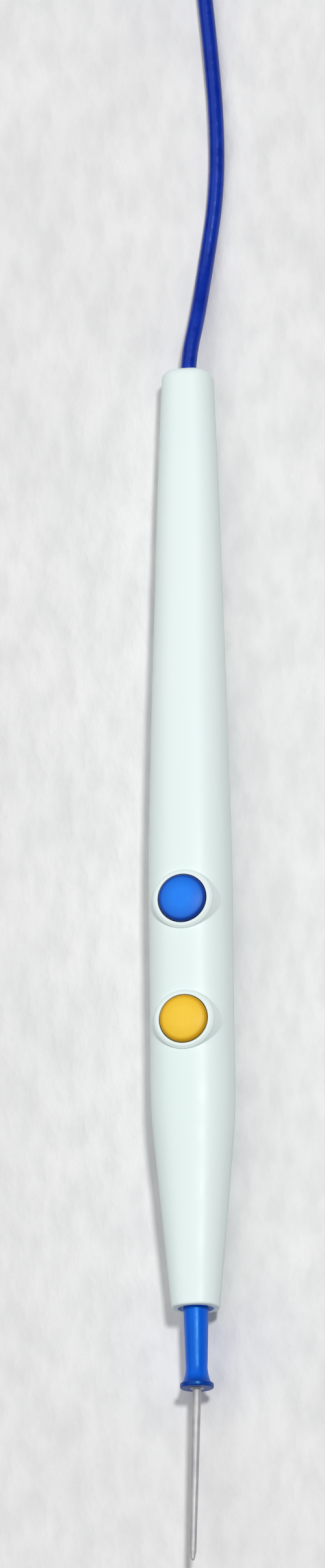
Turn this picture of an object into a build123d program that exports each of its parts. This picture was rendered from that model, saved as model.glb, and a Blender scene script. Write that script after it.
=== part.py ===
from build123d import *
import math
import os

# Electrosurgical pencil lying on its belly: tip toward -Y, cord toward +Y, buttons up.
# Places along the handle are distances from the nose mouth. All sizes are millimetres.

# Handle outline
HANDLE_LENGTH = 165.5
NOSE_WIDTH = 8.0
NOSE_HEIGHT = 8.0
NOSE_LIFT = 2.6
TAPER_FROM_NOSE = 19.0
TAPER_WIDTH = 11.45
TAPER_HEIGHT = 11.2
TAPER_LIFT = 1.0
SHOULDER_FROM_NOSE = 38.0
SHOULDER_WIDTH = 14.15
SHOULDER_HEIGHT = 13.5
SHOULDER_LIFT = 0.1
GRIP_FRONT_FROM_NOSE = 50.0
GRIP_REAR_FROM_NOSE = 72.0
GRIP_WIDTH = 14.0
GRIP_HEIGHT = 13.7
BACK_SLOPE_WIDTH = 13.1
BACK_SLOPE_HEIGHT = 12.9
WAIST_FROM_BACK = 45.5
WAIST_WIDTH = 11.75
WAIST_HEIGHT = 11.4
TAIL_FROM_BACK = 20.5
TAIL_WIDTH = 10.3
TAIL_HEIGHT = 9.9
END_WIDTH = 8.7
END_HEIGHT = 8.7
SECTION_POWER = 2.5
SECTION_POINTS = 12
LOFT_SECTIONS = 30
END_ROUNDING = 1.4
NOSE_ROUNDING = 0.4

# Shells
WALL = 1.3
BACK_WALL = 2.0
NOSE_BLOCK = 9.0
LAP_HEIGHT = 0.8
LAP_GAP = 0.06
LAP_END = 1.2
RIB = 1.2
FIT = 0.05
LOW_RIB_SPACING = 14.0
LOW_RIB_HEIGHT = 1.0

# Electrode and the seat that holds it
SHANK_DIAMETER = 2.36
SHANK_DEPTH = 32.0
HEX_FLATS = 5.0
HEX_DEPTH = 7.0
HEX_RECESS = 0.8
MOUTH_DIAMETER = 6.1
SLEEVE_REACH = 13.7
SLEEVE_REAR_DIAMETER = 4.25
SLEEVE_NECK_DIAMETER = 3.75
SLEEVE_NECK_FROM_FLANGE = 4.6
FLANGE_DIAMETER = 5.7
FLANGE_THICKNESS = 0.95
FLANGE_EDGE = 0.28
FLARE_DIAMETER = 4.9
FLARE_HOLLOW = 0.25
NEEDLE_REACH = 29.3
NEEDLE_BASE_DIAMETER = 1.5
NEEDLE_TIP_DIAMETER = 1.1
NEEDLE_LEAN = 2.0
SHANK_CHAMFER = 0.4
SHANK_END_GAP = 0.5

# Socket that grips the shank
SOCKET_WALL = 1.1
SOCKET_FROM_NOSE = 9.6
SOCKET_WEB = 0.8
SOCKET_CRIMP_LENGTH = 3.5
SOCKET_SLOT = 0.5
SOCKET_SLOT_LENGTH = 9.0
SOCKET_RIB_FROM_ENDS = 3.6

# Buttons, domes and switch board
CUT_BUTTON_FROM_NOSE = 48.4
BUTTON_SPACING = 21.0
BUTTON_DIAMETER = 8.2
BUTTON_PROUD = 1.0
BUTTON_CROWN = 0.35
BUTTON_EDGE = 0.7
BUTTON_GAP = 0.15
BUTTON_TRAVEL = 0.5
RING_PROUD = 0.5
RING_WALL = 0.75
RING_DRAFT = 0.35
RING_EDGE = 0.3
GUIDE_LENGTH = 3.2
BUTTON_FLANGE = 0.7
BUTTON_FLANGE_OVERLAP = 0.4
PLUNGER_DIAMETER = 3.0
BOARD_FROM_NOSE = 38.0
BOARD_LENGTH = 48.0
BOARD_WIDTH = 9.4
BOARD_THICKNESS = 1.0
BOARD_CORNER = 1.0
DOME_DIAMETER = 6.4
DOME_PRESSED_HEIGHT = 0.35
DOME_THICKNESS = 0.15
PEG_DIAMETER = 1.2
PEG_SPACING = 6.6
PEG_PROUD = 0.3
BOARD_RIB_FROM_END = 4.5
BOARD_RIB_INSET = 0.5

# Metal strip from socket to board
STRIP_THICKNESS = 0.3
STRIP_WIDTH = 2.6
STRIP_RING_LENGTH = 2.4
STRIP_LAP = 3.6

# Leads inside the handle
ACTIVE_LEAD_DIAMETER = 1.2
SWITCH_LEAD_DIAMETER = 1.0
LEAD_SPACING = 1.5
LEAD_LAP = 3.5
LEAD_BEND = 12.0

# Cord, its anchor in the handle and its tied hank
CORD_DIAMETER = 2.7
CORD_HOLE_GAP = 0.15
GROMMET_LENGTH = 7.0
GROMMET_DIAMETER = 5.2
GROMMET_FLANGE = 1.4
GROMMET_FLANGE_DIAMETER = 6.2
CORD_LIFT = 0.03
HANK_X = -9.5
HANK_TOP_TURN_Z = 14.9
HANK_FROM_BACK = 87.0
HANK_RUN = 44.0
HANK_END_WIDTH = 31.0
HANK_WAIST_WIDTH = 17.6
HANK_HEIGHT = 16.8
HANK_EDGE = 2.2
HANK_WAIST_BLEND = 14.0
TIE_WIDTH = 5.0
TIE_THICKNESS = 0.6
TIE_NOTCH_GAP = 0.5
TIE_TWIST_LENGTH = 9.0
TIE_TWIST_DIAMETER = 1.6
TIE_TWIST_TILT = 80.0
TIE_TWIST_TURN = 25.0

# Three-pin plug
PLUG_X = -5.0
PLUG_FROM_BACK = 196.0
PLUG_WIDTH = 40.0
PLUG_LENGTH = 32.0
PLUG_THICKNESS = 12.4
PLUG_CORNER = 5.0
PLUG_EDGE = 1.8
PLUG_SHOULDER = 12.0
PLUG_NECK_WIDTH = 16.0
PLUG_GRIP_RIBS = 5
PLUG_GRIP_PITCH = 2.6
PLUG_GRIP_DEPTH = 0.6
PIN_DIAMETER = 4.0
PIN_NECK_DIAMETER = 3.4
PIN_NECK_PROUD = 0.5
PIN_REACH = 15.0
PIN_TAIL = 11.0
PIN_TAIL_DIAMETER = 2.8
PIN_COLLAR_DIAMETER = 6.4
PIN_COLLAR = 1.6
PIN_COLLAR_DEPTH = 4.0
ACTIVE_TO_CUT = 19.0
CUT_TO_COAG = 12.7
BOOT_LENGTH = 21.0
BOOT_ROOT_DIAMETER = 8.0
BOOT_END_DIAMETER = 4.4
BOOT_SEAT = 5.0
BOOT_SEAT_DIAMETER = 9.6
BOOT_RINGS = 4
BOOT_RING_GROOVE = 1.1
BOOT_CORE_WALL = 0.5
PIN_NOSE = 1.0

# Places worked out from the sizes above
TOTAL_LENGTH = HANDLE_LENGTH + SLEEVE_REACH + NEEDLE_REACH
NOSE_Y = SLEEVE_REACH + NEEDLE_REACH - TOTAL_LENGTH / 2
BACK_Y = NOSE_Y + HANDLE_LENGTH
FLANGE_Y = NOSE_Y - SLEEVE_REACH
AXIS_Z = NOSE_LIFT + NOSE_HEIGHT / 2
CORD_Z = END_HEIGHT / 2
RING_TOP = GRIP_HEIGHT + RING_PROUD
HOLE_RADIUS = BUTTON_DIAMETER / 2 + BUTTON_GAP
RING_RADIUS = HOLE_RADIUS + RING_WALL
GUIDE_BOTTOM = RING_TOP - GUIDE_LENGTH
SOCKET_RADIUS = SHANK_DIAMETER / 2 + FIT + SOCKET_WALL
SOCKET_END = SHANK_DEPTH + SOCKET_CRIMP_LENGTH
BOARD_TOP = AXIS_Z + SOCKET_RADIUS + FIT
BOARD_BOTTOM = BOARD_TOP - BOARD_THICKNESS
BOARD_END = BOARD_FROM_NOSE + BOARD_LENGTH
BOARD_RIBS = (BOARD_FROM_NOSE + BOARD_RIB_FROM_END, BOARD_END - BOARD_RIB_FROM_END)
DOME_HEIGHT = BUTTON_TRAVEL + DOME_PRESSED_HEIGHT
DOME_TOP = BOARD_TOP + DOME_HEIGHT
GROMMET_BACK = HANDLE_LENGTH - BACK_WALL
GROMMET_FRONT = GROMMET_BACK - GROMMET_LENGTH
COAG_BUTTON_FROM_NOSE = CUT_BUTTON_FROM_NOSE + BUTTON_SPACING
CORD_FLOOR_Z = CORD_DIAMETER / 2 + CORD_LIFT
PLUG_START = BOOT_LENGTH - BOOT_SEAT
PLUG_FACE = PLUG_START + PLUG_LENGTH
PIN_PLACES = {
    "active_pin": -(ACTIVE_TO_CUT + CUT_TO_COAG) / 2,
    "cut_pin": ACTIVE_TO_CUT - (ACTIVE_TO_CUT + CUT_TO_COAG) / 2,
    "coag_pin": (ACTIVE_TO_CUT + CUT_TO_COAG) / 2,
}
# Reach of the blocks that only cut, longer than any piece
TOOL = 80.0

STATIONS = [
    (0.0, NOSE_WIDTH, NOSE_HEIGHT, NOSE_LIFT),
    (TAPER_FROM_NOSE, TAPER_WIDTH, TAPER_HEIGHT, TAPER_LIFT),
    (SHOULDER_FROM_NOSE, SHOULDER_WIDTH, SHOULDER_HEIGHT, SHOULDER_LIFT),
    (GRIP_FRONT_FROM_NOSE, GRIP_WIDTH, GRIP_HEIGHT, 0.0),
    (GRIP_REAR_FROM_NOSE, GRIP_WIDTH, GRIP_HEIGHT, 0.0),
    (
        (GRIP_REAR_FROM_NOSE + HANDLE_LENGTH - WAIST_FROM_BACK) / 2,
        BACK_SLOPE_WIDTH,
        BACK_SLOPE_HEIGHT,
        0.0,
    ),
    (HANDLE_LENGTH - WAIST_FROM_BACK, WAIST_WIDTH, WAIST_HEIGHT, 0.0),
    (HANDLE_LENGTH - TAIL_FROM_BACK, TAIL_WIDTH, TAIL_HEIGHT, 0.0),
    (HANDLE_LENGTH, END_WIDTH, END_HEIGHT, 0.0),
]


# Helpers
def at(from_nose):
    """Y of a place given by its distance from the nose mouth."""
    return NOSE_Y + from_nose


def rod(radius, start, end, x=0.0, z=AXIS_Z):
    """Cylinder along the handle between two distances from the nose."""
    face = Plane(origin=(x, at(start), z), x_dir=(1, 0, 0), z_dir=(0, 1, 0)) * Circle(radius)
    return extrude(face, amount=end - start)


def slab(start, end, low, high, width=TOOL, x=0.0):
    """Block between two distances from the nose and two heights."""
    block = Box(width, end - start, high - low, align=(Align.CENTER, Align.MIN, Align.MIN))
    return Pos(x, at(start), low) * block


def smooth_between(places, values, place):
    """Value at a place on a curve through the values that never swings past them."""
    slopes = [(b - a) / (q - p) for a, b, p, q in zip(values, values[1:], places, places[1:])]
    tilts = [slopes[0]]
    for before, after in zip(slopes, slopes[1:]):
        tilts.append(2 * before * after / (before + after) if before * after > 0 else 0.0)
    tilts.append(slopes[-1])
    k = sum(p <= place for p in places[1:-1])
    span = places[k + 1] - places[k]
    t = (place - places[k]) / span
    start = (1 + 2 * t) * values[k] + t * span * tilts[k]
    end = (3 - 2 * t) * values[k + 1] - (1 - t) * span * tilts[k + 1]
    return (1 - t) ** 2 * start + t**2 * end


def form_at(from_nose):
    """Distance from the nose with the handle's width, height and lift there."""
    places, *columns = zip(*STATIONS)
    return (from_nose, *(smooth_between(places, column, from_nose) for column in columns))


def top_of(from_nose):
    """Height of the handle's crest."""
    _, _, height, lift = form_at(from_nose)
    return height + lift


def save(node, solid):
    """One STEP file for each named piece."""
    solid.label = node
    export_step(solid, f"parts/{node}.step")


# Handle form: superellipse sections lofted from the nose to the cord end
def handle_section(station, inset):
    """Closed wire of one section, drawn in by an inset."""
    from_nose, width, height, lift = station
    points = []
    for step in range(SECTION_POINTS):
        turn = 2 * math.pi * step / SECTION_POINTS - math.pi / 2
        across = math.copysign(abs(math.cos(turn)) ** (2 / SECTION_POWER), math.cos(turn))
        upward = math.copysign(abs(math.sin(turn)) ** (2 / SECTION_POWER), math.sin(turn))
        x = (width / 2 - inset) * across
        z = lift + height / 2 + (height / 2 - inset) * upward
        points.append((x, at(from_nose), z))
    return Wire([Edge.make_spline(points, periodic=True)])


def handle_form(inset):
    """Whole handle as one closed body, drawn in by an inset."""
    places = [HANDLE_LENGTH * step / (LOFT_SECTIONS - 1) for step in range(LOFT_SECTIONS)]
    return Solid.make_loft([handle_section(form_at(place), inset) for place in places])


# Parting: a plane from the electrode axis at the nose to the cord axis at the back
def parting(offset=0.0):
    """Location of the parting plane, raised by an offset."""
    fall = math.degrees(math.atan2(AXIS_Z - CORD_Z, HANDLE_LENGTH))
    return Pos(0, NOSE_Y, AXIS_Z + offset) * Rot(-fall, 0, 0)


def above(offset=0.0, height=TOOL):
    """Everything over the parting plane, up to a height."""
    block = Box(TOOL, 3 * HANDLE_LENGTH, height, align=(Align.CENTER, Align.CENTER, Align.MIN))
    return parting(offset) * block


def below(offset=0.0):
    """Everything under the parting plane."""
    block = Box(TOOL, 3 * HANDLE_LENGTH, TOOL, align=(Align.CENTER, Align.CENTER, Align.MAX))
    return parting(offset) * block


def lap_form(inset):
    """Body whose side is the middle of the wall, short of both ends."""
    return handle_form(inset) & slab(LAP_END, HANDLE_LENGTH - LAP_END, -TOOL, TOOL)


# Seats that both shells share
def electrode_seat():
    """Mouth, hex seat and shank hole through the nose block."""
    mouth = rod(MOUTH_DIAMETER / 2, -1.0, HEX_RECESS)
    plane = Plane(origin=(0, at(HEX_RECESS), AXIS_Z), x_dir=(1, 0, 0), z_dir=(0, 1, 0))
    hexagon = RegularPolygon(HEX_FLATS / 2 + FIT, 6, major_radius=False)
    seat = extrude(plane * hexagon, amount=HEX_DEPTH - HEX_RECESS + FIT)
    hole = rod(SHANK_DIAMETER / 2 + 2 * FIT, HEX_DEPTH, NOSE_BLOCK + 1.0)
    return mouth + seat + hole


def socket_ribs():
    """Cross walls that cradle the socket, front and rear."""
    places = (SOCKET_FROM_NOSE + SOCKET_RIB_FROM_ENDS, SHANK_DEPTH - SOCKET_RIB_FROM_ENDS)
    walls = [slab(n - RIB / 2, n + RIB / 2, -TOOL, TOOL) for n in places]
    return walls[0] + walls[1] - rod(SOCKET_RADIUS + FIT, 0, SOCKET_END + 1)


def grommet_ribs():
    """Cross walls that clamp the cord anchor and stop its flange."""
    body_wall = GROMMET_FRONT + GROMMET_FLANGE + FIT
    stop = GROMMET_FRONT - FIT
    walls = slab(body_wall, body_wall + RIB, -TOOL, TOOL)
    walls += slab(stop - RIB, stop, -TOOL, TOOL)
    walls += slab(GROMMET_BACK - RIB, GROMMET_BACK + 1, -TOOL, TOOL)
    walls -= rod(GROMMET_DIAMETER / 2 + FIT, GROMMET_FRONT, GROMMET_BACK + 1, z=CORD_Z)
    window_low = CORD_Z - ACTIVE_LEAD_DIAMETER
    window_high = CORD_Z + ACTIVE_LEAD_DIAMETER
    window_width = 2 * (LEAD_SPACING + ACTIVE_LEAD_DIAMETER)
    return walls - slab(stop - 2 * RIB, GROMMET_FRONT, window_low, window_high, width=window_width)


def cord_seat():
    """Bed of the cord anchor with its flange groove, and the cord's hole in the back wall."""
    front = GROMMET_FRONT - FIT
    groove_back = GROMMET_FRONT + GROMMET_FLANGE + FIT
    bed = rod(GROMMET_DIAMETER / 2 + FIT, front, GROMMET_BACK, z=CORD_Z)
    groove = rod(GROMMET_FLANGE_DIAMETER / 2 + FIT, front, groove_back, z=CORD_Z)
    hole = rod(CORD_DIAMETER / 2 + CORD_HOLE_GAP, GROMMET_BACK - FIT, HANDLE_LENGTH + 1, z=CORD_Z)
    return bed + groove + hole


def low_rib_places():
    """Evenly spaced stiffeners between the board and the cord anchor."""
    count = int((GROMMET_FRONT - BOARD_END - LOW_RIB_SPACING) // LOW_RIB_SPACING)
    return [BOARD_END + LOW_RIB_SPACING * (k + 1) for k in range(count)]


def cavity():
    """Hollow of the handle between the nose block and the back wall."""
    return handle_form(WALL) & slab(NOSE_BLOCK, GROMMET_BACK, -TOOL, TOOL)


# Lower shell
def board_wall(from_nose, low, width):
    """Cross wall up to the switch board, with a slot that the active lead passes."""
    wall = slab(from_nose - RIB / 2, from_nose + RIB / 2, low, BOARD_BOTTOM, width=width)
    slot_low = AXIS_Z - ACTIVE_LEAD_DIAMETER
    return wall - slab(from_nose - RIB, from_nose + RIB, slot_low, TOOL, width=2 * ACTIVE_LEAD_DIAMETER)


def lower_shell(outer, hollow):
    ribs = socket_ribs() + grommet_ribs()
    for n in BOARD_RIBS:
        ribs += board_wall(n, -TOOL, TOOL)
    for n in low_rib_places():
        ribs += slab(n - RIB / 2, n + RIB / 2, -TOOL, WALL + LOW_RIB_HEIGHT)
    rim = above(0, LAP_HEIGHT + 1) - lap_form(WALL / 2 + LAP_GAP / 2)
    shell = outer.cut(above(LAP_HEIGHT), rim, (hollow & below(LAP_HEIGHT + 1)) - ribs)
    for n in BOARD_RIBS:
        shell += board_wall(n, AXIS_Z - RIB, BOARD_WIDTH - 2 * BOARD_RIB_INSET)
        for side in (-1, 1):
            foot = (side * PEG_SPACING / 2, at(n), BOARD_BOTTOM - RIB)
            shell += Pos(*foot) * Cylinder(
                PEG_DIAMETER / 2,
                RIB + BOARD_THICKNESS + PEG_PROUD,
                align=(Align.CENTER, Align.CENTER, Align.MIN),
            )
    return shell - electrode_seat() - cord_seat()


# Upper shell
def button_collar(from_nose):
    """Drafted ring that stands round a button hole."""
    foot = GUIDE_BOTTOM - BUTTON_FLANGE
    outline = [
        (0, foot),
        (RING_RADIUS + RING_DRAFT * (RING_TOP - foot), foot),
        (RING_RADIUS + RING_DRAFT * RING_EDGE, RING_TOP - RING_EDGE),
        (RING_RADIUS - RING_EDGE, RING_TOP),
        (0, RING_TOP),
    ]
    face = Plane.XZ.offset(-at(from_nose)) * make_face(Polyline(outline, close=True))
    return revolve(face, Axis((0, at(from_nose), 0), (0, 0, 1)))


def drum(from_nose, radius, low, high):
    """Upright cylinder on the handle's middle line."""
    solid = Cylinder(radius, high - low, align=(Align.CENTER, Align.CENTER, Align.MIN))
    return Pos(0, at(from_nose), low) * solid


def upper_shell(outer, hollow):
    buttons = (CUT_BUTTON_FROM_NOSE, COAG_BUTTON_FROM_NOSE)
    ribs = socket_ribs() + grommet_ribs()
    for n in BOARD_RIBS:
        ribs += slab(n - RIB / 2, n + RIB / 2, BOARD_TOP, TOOL, width=PEG_SPACING - 2 * PEG_DIAMETER)
    for n in low_rib_places():
        ribs += slab(n - RIB / 2, n + RIB / 2, top_of(n) - WALL - LOW_RIB_HEIGHT, TOOL)
    shell = outer
    for n in buttons:
        shell += button_collar(n)
        ribs += drum(n, RING_RADIUS, GUIDE_BOTTOM, TOOL)
    groove = lap_form(WALL / 2 - LAP_GAP / 2) & above(-1, LAP_HEIGHT + 1 + LAP_GAP)
    shell = shell.cut(below(0), groove, (hollow & above(-1)) - ribs)
    for n in buttons:
        shell -= drum(n, HOLE_RADIUS, GUIDE_BOTTOM - 1, TOOL)
        pocket_radius = HOLE_RADIUS + BUTTON_FLANGE_OVERLAP + 2 * BUTTON_GAP
        shell -= drum(n, pocket_radius, BOARD_TOP, GUIDE_BOTTOM)
    return shell - electrode_seat() - cord_seat()


# Buttons and the domes under them
def cap_point(reach, crown, rim_z, share):
    """Point on a ball cap of a given reach and crown, at a share of its reach."""
    ball = (reach**2 + crown**2) / (2 * crown)
    return (reach * share, rim_z + crown - ball + math.sqrt(ball**2 - (reach * share) ** 2))


def button(from_nose):
    """Cap with a crowned top, a retaining flange and a plunger."""
    radius = BUTTON_DIAMETER / 2
    flange_radius = HOLE_RADIUS + BUTTON_FLANGE_OVERLAP
    flange_top = GUIDE_BOTTOM - 2 * FIT
    edge_top = RING_TOP + BUTTON_PROUD - BUTTON_CROWN
    cut_corner = BUTTON_EDGE * (1 - math.sqrt(0.5))
    corner = (radius - cut_corner, edge_top - cut_corner)
    with BuildSketch(Plane.XZ.offset(-at(from_nose))) as half:
        with BuildLine():
            Polyline(
                (0, DOME_TOP + FIT),
                (PLUNGER_DIAMETER / 2, DOME_TOP + FIT),
                (PLUNGER_DIAMETER / 2, flange_top - BUTTON_FLANGE),
                (flange_radius, flange_top - BUTTON_FLANGE),
                (flange_radius, flange_top),
                (radius, flange_top),
                (radius, edge_top - BUTTON_EDGE),
            )
            ThreePointArc((radius, edge_top - BUTTON_EDGE), corner, (radius - BUTTON_EDGE, edge_top))
            ThreePointArc(
                (radius - BUTTON_EDGE, edge_top),
                cap_point(radius - BUTTON_EDGE, BUTTON_CROWN, edge_top, 0.5),
                (0, edge_top + BUTTON_CROWN),
            )
            Line((0, edge_top + BUTTON_CROWN), (0, DOME_TOP + FIT))
        make_face()
    return revolve(half.sketch, Axis((0, at(from_nose), 0), (0, 0, 1)))


def snap_dome(from_nose):
    """Thin sprung metal dome, a slice of a hollow ball."""
    reach = DOME_DIAMETER / 2
    with BuildSketch(Plane.XZ.offset(-at(from_nose))) as half:
        with BuildLine():
            inner_reach = reach - 3 * DOME_THICKNESS
            inner_height = DOME_HEIGHT - DOME_THICKNESS
            outer = cap_point(reach, DOME_HEIGHT, BOARD_TOP, 0.5)
            inner = cap_point(inner_reach, inner_height, BOARD_TOP, 0.5)
            ThreePointArc((reach, BOARD_TOP), outer, (0, DOME_TOP))
            Line((0, DOME_TOP), (0, BOARD_TOP + inner_height))
            ThreePointArc((0, BOARD_TOP + inner_height), inner, (inner_reach, BOARD_TOP))
            Line((inner_reach, BOARD_TOP), (reach, BOARD_TOP))
        make_face()
    return revolve(half.sketch, Axis((0, at(from_nose), 0), (0, 0, 1)))


def switch_board():
    """Printed board on two pegged ribs, with rounded corners."""
    board = slab(BOARD_FROM_NOSE, BOARD_END, BOARD_BOTTOM, BOARD_TOP, width=BOARD_WIDTH)
    board = fillet(board.edges().filter_by(Axis.Z), BOARD_CORNER)
    for n in BOARD_RIBS:
        for side in (-1, 1):
            board -= Pos(side * PEG_SPACING / 2, at(n), BOARD_BOTTOM) * Cylinder(PEG_DIAMETER / 2 + FIT, TOOL)
    return board


# Electrode and its electrical seat
def electrode_sleeve():
    """Blue insulating sleeve: hex root, waisted barrel, flared flange."""
    plane = Plane(origin=(0, at(HEX_RECESS), AXIS_Z), x_dir=(1, 0, 0), z_dir=(0, 1, 0))
    root = extrude(plane * RegularPolygon(HEX_FLATS / 2, 6, major_radius=False), amount=HEX_DEPTH - HEX_RECESS)
    neck = SLEEVE_NECK_FROM_FLANGE - SLEEVE_REACH
    flare = FLANGE_THICKNESS - SLEEVE_REACH
    with BuildSketch(Plane(origin=(0, NOSE_Y, AXIS_Z), x_dir=(0, 1, 0), z_dir=(1, 0, 0))) as half:
        with BuildLine():
            Line((HEX_DEPTH, 0), (HEX_DEPTH, SLEEVE_REAR_DIAMETER / 2))
            Line((HEX_DEPTH, SLEEVE_REAR_DIAMETER / 2), (0, SLEEVE_REAR_DIAMETER / 2))
            Line((0, SLEEVE_REAR_DIAMETER / 2), (neck, SLEEVE_NECK_DIAMETER / 2))
            hollow = ((neck + flare) / 2, (SLEEVE_NECK_DIAMETER + FLARE_DIAMETER) / 4 - FLARE_HOLLOW)
            ThreePointArc((neck, SLEEVE_NECK_DIAMETER / 2), hollow, (flare, FLARE_DIAMETER / 2))
            Line((flare, FLARE_DIAMETER / 2), (flare, FLANGE_DIAMETER / 2))
            Line((flare, FLANGE_DIAMETER / 2), (-SLEEVE_REACH, FLANGE_DIAMETER / 2))
            Line((-SLEEVE_REACH, FLANGE_DIAMETER / 2), (-SLEEVE_REACH, 0))
            Line((-SLEEVE_REACH, 0), (HEX_DEPTH, 0))
        make_face()
    barrel = revolve(half.sketch, Axis((0, 0, AXIS_Z), (0, 1, 0)))
    rims = barrel.edges().filter_by(GeomType.CIRCLE).filter_by(
        lambda e: abs(e.radius - FLANGE_DIAMETER / 2) < FIT
    )
    sleeve = fillet(rims, FLANGE_EDGE) + root
    return sleeve - rod(SHANK_DIAMETER / 2, -SLEEVE_REACH - 1, HEX_DEPTH + 1)


def electrode_needle():
    """Steel shank with a slimmer needle that leans a little."""
    shank = rod(SHANK_DIAMETER / 2, -SLEEVE_REACH, SHANK_DEPTH - SHANK_END_GAP)
    shank = chamfer(shank.edges().group_by(Axis.Y)[-1], SHANK_CHAMFER)
    length = NEEDLE_REACH / math.cos(math.radians(NEEDLE_LEAN))
    tip = NEEDLE_TIP_DIAMETER / 2
    with BuildSketch(Plane.XY) as half:
        with BuildLine():
            Line((0, 0), (NEEDLE_BASE_DIAMETER / 2, 0))
            Line((NEEDLE_BASE_DIAMETER / 2, 0), (tip, 3 * tip - length))
            Line((tip, 3 * tip - length), (tip * 0.6, tip * 0.6 - length))
            Line((tip * 0.6, tip * 0.6 - length), (0, -length))
            Line((0, -length), (0, 0))
        make_face()
    needle = revolve(half.sketch, Axis.Y) + Sphere(NEEDLE_BASE_DIAMETER / 2)
    return shank + Pos(0, FLANGE_Y, AXIS_Z) * Rot(0, 0, -NEEDLE_LEAN) * needle


def electrode_socket():
    """Brass socket with split fingers in front and a crimp barrel behind."""
    body = rod(SOCKET_RADIUS, SOCKET_FROM_NOSE, SOCKET_END)
    body -= rod(SHANK_DIAMETER / 2 + FIT, SOCKET_FROM_NOSE - 1, SHANK_DEPTH)
    body -= rod(ACTIVE_LEAD_DIAMETER / 2 + FIT, SHANK_DEPTH + SOCKET_WEB, SOCKET_END + 1)
    slot_end = SOCKET_FROM_NOSE + SOCKET_SLOT_LENGTH
    body -= slab(SOCKET_FROM_NOSE - 1, slot_end, AXIS_Z - SOCKET_SLOT / 2, AXIS_Z + SOCKET_SLOT / 2)
    body -= slab(SOCKET_FROM_NOSE - 1, slot_end, -TOOL, TOOL, width=SOCKET_SLOT)
    return body


def contact_strip():
    """Formed strip: a ring clipped round the socket and a tongue on the board."""
    start = SOCKET_END - STRIP_RING_LENGTH
    inner = SOCKET_RADIUS + FIT
    ring = rod(inner + STRIP_THICKNESS, start, SOCKET_END) - rod(inner, start - 1, SOCKET_END + 1)
    tongue_end = BOARD_FROM_NOSE + STRIP_LAP
    tongue = slab(start, tongue_end, BOARD_TOP, BOARD_TOP + STRIP_THICKNESS, width=STRIP_WIDTH)
    return ring + (tongue - rod(inner, start - 1, SOCKET_END + 1))


# Leads from the cord anchor to the socket and the board
def lead(points, diameter, radius):
    """Insulated wire along a route with rounded corners."""
    placed = [(x, at(n), z) for x, n, z in points]
    path = FilletPolyline(*placed, radius=radius)
    return sweep(Plane(origin=path @ 0, z_dir=path % 0) * Circle(diameter / 2), path=path)


def active_lead():
    level = BOARD_END + LOW_RIB_SPACING
    points = [
        (0, GROMMET_FRONT, CORD_Z),
        (0, GROMMET_FRONT - LOW_RIB_SPACING, CORD_Z),
        (0, level, AXIS_Z),
        (0, SHANK_DEPTH + SOCKET_WEB + FIT, AXIS_Z),
    ]
    return lead(points, ACTIVE_LEAD_DIAMETER, LEAD_BEND)


def switch_lead(side):
    """Lead that ends on a pad at the rear of the board."""
    on_board = BOARD_TOP + SWITCH_LEAD_DIAMETER / 2
    x = side * LEAD_SPACING
    points = [
        (x, GROMMET_FRONT, CORD_Z),
        (x, GROMMET_FRONT - LOW_RIB_SPACING, CORD_Z),
        (x, BOARD_END + LOW_RIB_SPACING / 2, on_board),
        (x, BOARD_END - LEAD_LAP, on_board),
    ]
    return lead(points, SWITCH_LEAD_DIAMETER, LEAD_BEND)


# Cord anchor in the back of the handle
def cord_grommet():
    """Moulded anchor: the cord ends on its back face, the leads leave its front."""
    body = rod(GROMMET_DIAMETER / 2, GROMMET_FRONT, GROMMET_BACK, z=CORD_Z)
    flange_end = GROMMET_FRONT + GROMMET_FLANGE
    return body + rod(GROMMET_FLANGE_DIAMETER / 2, GROMMET_FRONT, flange_end, z=CORD_Z)


# Cord: straight runs joined by arcs, as (x, distance behind the handle, z)
CORD_ROUTE = [
    (0.0, -BACK_WALL, CORD_Z),
    (0.15, 3.0, 4.3),
    (1.6, 10.0, 3.5),
    (2.7, 19.5, CORD_FLOOR_Z),
    (4.9, 33.0, CORD_FLOOR_Z),
    (5.1, 46.0, CORD_FLOOR_Z),
    (4.1, 60.0, CORD_FLOOR_Z),
    (2.8, 74.0, CORD_FLOOR_Z),
    (3.0, 87.0, CORD_FLOOR_Z),
    (3.9, 100.0, CORD_FLOOR_Z),
]
TAIL_ROUTE = [
    (4.0, 146.0, HANK_TOP_TURN_Z),
    (3.9, 156.0, 14.6),
    (2.2, 166.0, 12.0),
    (-1.2, 176.0, 8.6),
    (-4.3, 186.0, 6.5),
    (PLUG_X, PLUG_FROM_BACK, PLUG_THICKNESS / 2),
]


def cord_tube(name, route):
    """Plain round tube; each corner's arc is as large as its two runs allow."""
    points = [Vector(x, BACK_Y + behind, z) for x, behind, z in route]
    runs = [b - a for a, b in zip(points, points[1:])]
    radii = []
    for before, after in zip(runs, runs[1:]):
        half_turn = math.radians(before.get_angle(after)) / 2
        radii.append(0.45 * min(before.length, after.length) / math.tan(half_turn))
    path = FilletPolyline(*points, radius=radii)
    tube = sweep(Plane(origin=path @ 0, z_dir=path % 0) * Circle(CORD_DIAMETER / 2), path=path)
    section = math.pi * CORD_DIAMETER**2 / 4
    print(name, "arc radii", [round(r, 1) for r in radii])
    print(name, "length", round(path.length, 2), "volume ratio", round(tube.volume / section / path.length, 4))
    return tube


# Tied hank of the spare cord, as one plain body
def hank_outline():
    """Dog-bone outline: round ends joined by a drawn-in waist."""
    ends = Sketch() + [Pos(0, side * HANK_RUN / 2) * Circle(HANK_END_WIDTH / 2) for side in (-1, 1)]
    shape = ends + Rectangle(HANK_WAIST_WIDTH, HANK_RUN)
    inner = shape.vertices().filter_by(lambda v: abs(v.X) < HANK_END_WIDTH / 2 - 1)
    return fillet(inner, HANK_WAIST_BLEND)


def hank_place():
    """Middle of the hank on the surface."""
    return Pos(HANK_X, BACK_Y + HANK_FROM_BACK + HANK_END_WIDTH / 2 + HANK_RUN / 2, 0)


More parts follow.
